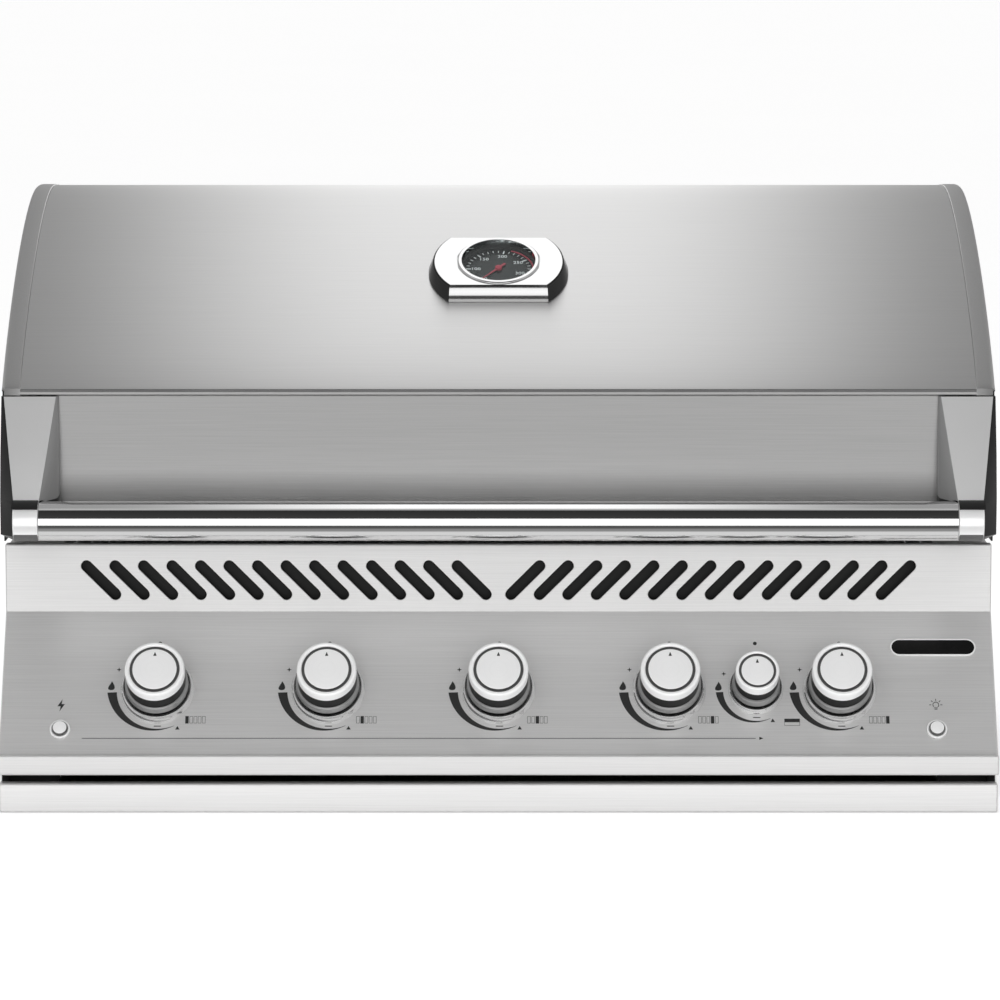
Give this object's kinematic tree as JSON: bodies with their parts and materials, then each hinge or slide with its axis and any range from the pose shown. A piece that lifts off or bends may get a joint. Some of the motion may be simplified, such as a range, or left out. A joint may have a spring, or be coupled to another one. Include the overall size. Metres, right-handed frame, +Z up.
{
  "type": "built-in gas grill",
  "caption": "Built-in gas grill head with a roll-top lid, bar handle, lid thermometer, sloping panel of turning knobs, push buttons and a slide-out drip tray.",
  "frame": {"origin": "under the middle of the grill, on the plane of the casing's floor", "axes": "+X to the right along the front, -Y towards the cook, +Z up"},
  "size_m": [0.9756, 0.6572, 0.584],
  "materials": {
    "brushed_steel": "fine brushing along the width",
    "inner_steel": "mill finish",
    "grid_steel": "round rod, lightly polished",
    "chrome": "mirror polished",
    "knob_metal": "polished and plated, with a satin cap and a dark band",
    "cast_bracket": "cast, brushed front face",
    "brass": "machined",
    "black_plate": "gloss black",
    "black_plastic": "moulded",
    "dial_black": "matt black face",
    "needle_red": "red paint",
    "clear_glass": "clear"
  },
  "bodies": {
    "base": {"casing": "brushed_steel", "firebox": "inner_steel", "control_panel": "brushed_steel", "name_plate": "black_plate", "gas_manifold": "brass", "ignition_module": "black_plastic", "rear_burner": "inner_steel", "warming_rack": "grid_steel", "ignition_button_bezel": "chrome", "light_button_bezel": "chrome", "cooking_grid_left": "grid_steel", "cooking_grid_middle": "grid_steel", "cooking_grid_right": "grid_steel", "burner_1": "inner_steel", "sear_plate_1": "inner_steel", "burner_2": "inner_steel", "sear_plate_2": "inner_steel", "burner_3": "inner_steel", "sear_plate_3": "inner_steel", "burner_4": "inner_steel", "sear_plate_4": "inner_steel", "burner_5": "inner_steel", "sear_plate_5": "inner_steel", "knob_bezel_1": "chrome", "knob_bezel_2": "chrome", "knob_bezel_3": "chrome", "knob_bezel_4": "chrome", "knob_bezel_5": "chrome", "knob_bezel_rear": "chrome"},
    "lid": {"lid_shell": "brushed_steel", "lid_liner": "inner_steel", "lid_end_left": "brushed_steel", "lid_end_right": "brushed_steel", "hinge_pin_left": "chrome", "hinge_pin_right": "chrome", "handle_tube": "chrome", "handle_collar_left": "chrome", "handle_collar_right": "chrome", "handle_bracket_left": "cast_bracket", "handle_bracket_right": "cast_bracket", "thermometer_bezel": "chrome", "thermometer_dial": "dial_black", "thermometer_glass": "clear_glass"},
    "drip_tray": {"drip_tray_pan": "inner_steel", "tray_front": "brushed_steel"},
    "needle": {"thermometer_needle": "needle_red"},
    "ignition_push": {"ignition_button": "chrome"},
    "light_push": {"light_button": "chrome"},
    "valve_1": {"valve_rotor_1": "brass"},
    "knob_1": {"knob_1": "knob_metal"},
    "valve_2": {"valve_rotor_2": "brass"},
    "knob_2": {"knob_2": "knob_metal"},
    "valve_3": {"valve_rotor_3": "brass"},
    "knob_3": {"knob_3": "knob_metal"},
    "valve_4": {"valve_rotor_4": "brass"},
    "knob_4": {"knob_4": "knob_metal"},
    "valve_5": {"valve_rotor_5": "brass"},
    "knob_5": {"knob_5": "knob_metal"},
    "valve_rear": {"valve_rotor_rear": "brass"},
    "knob_rear": {"knob_rear": "knob_metal"}
  },
  "joints": [
    {"name": "lid_hinge", "type": "hinge", "parent": "base", "child": "lid", "pos_m": [0, 0.23, 0.33], "axis": [-1, 0, 0], "range_deg": [0, 88]},
    {"name": "drip_tray_slide", "type": "slide", "parent": "base", "child": "drip_tray", "axis": [0, -1, 0], "range_m": [0, 0.42]},
    {"name": "thermometer_needle_turn", "type": "hinge", "parent": "lid", "child": "needle", "pos_m": [0, -0.0945, 0.5095], "axis": [0, 0.4909, -0.8712], "range_deg": [0, 260], "stiffness_Nm_per_rad": 0.002},
    {"name": "ignition_button_push", "type": "slide", "parent": "base", "child": "ignition_push", "axis": [0, 0.825, -0.5651], "range_m": [0, 0.002], "stiffness_N_per_m": 400, "springref_m": -0.002},
    {"name": "light_button_push", "type": "slide", "parent": "base", "child": "light_push", "axis": [0, 0.825, -0.5651], "range_m": [0, 0.002], "stiffness_N_per_m": 400, "springref_m": -0.002},
    {"name": "burner_1_turn", "type": "hinge", "parent": "base", "child": "valve_1", "pos_m": [-0.333, -0.27238, 0.11538], "axis": [0, -0.825, 0.5651], "range_deg": [0, 210]},
    {"name": "knob_1_push", "type": "slide", "parent": "valve_1", "child": "knob_1", "axis": [0, 0.825, -0.5651], "range_m": [0, 0.0025], "stiffness_N_per_m": 1500, "springref_m": -0.004},
    {"name": "burner_2_turn", "type": "hinge", "parent": "base", "child": "valve_2", "pos_m": [-0.1665, -0.27238, 0.11538], "axis": [0, -0.825, 0.5651], "range_deg": [0, 210]},
    {"name": "knob_2_push", "type": "slide", "parent": "valve_2", "child": "knob_2", "axis": [0, 0.825, -0.5651], "range_m": [0, 0.0025], "stiffness_N_per_m": 1500, "springref_m": -0.004},
    {"name": "burner_3_turn", "type": "hinge", "parent": "base", "child": "valve_3", "pos_m": [0, -0.27238, 0.11538], "axis": [0, -0.825, 0.5651], "range_deg": [0, 210]},
    {"name": "knob_3_push", "type": "slide", "parent": "valve_3", "child": "knob_3", "axis": [0, 0.825, -0.5651], "range_m": [0, 0.0025], "stiffness_N_per_m": 1500, "springref_m": -0.004},
    {"name": "burner_4_turn", "type": "hinge", "parent": "base", "child": "valve_4", "pos_m": [0.1665, -0.27238, 0.11538], "axis": [0, -0.825, 0.5651], "range_deg": [0, 210]},
    {"name": "knob_4_push", "type": "slide", "parent": "valve_4", "child": "knob_4", "axis": [0, 0.825, -0.5651], "range_m": [0, 0.0025], "stiffness_N_per_m": 1500, "springref_m": -0.004},
    {"name": "burner_5_turn", "type": "hinge", "parent": "base", "child": "valve_5", "pos_m": [0.333, -0.27238, 0.11538], "axis": [0, -0.825, 0.5651], "range_deg": [0, 210]},
    {"name": "knob_5_push", "type": "slide", "parent": "valve_5", "child": "knob_5", "axis": [0, 0.825, -0.5651], "range_m": [0, 0.0025], "stiffness_N_per_m": 1500, "springref_m": -0.004},
    {"name": "rear_burner_turn", "type": "hinge", "parent": "base", "child": "valve_rear", "pos_m": [0.251, -0.27238, 0.11538], "axis": [0, -0.825, 0.5651], "range_deg": [0, 210]},
    {"name": "knob_rear_push", "type": "slide", "parent": "valve_rear", "child": "knob_rear", "axis": [0, 0.825, -0.5651], "range_m": [0, 0.0025], "stiffness_N_per_m": 1500, "springref_m": -0.004}
  ]
}
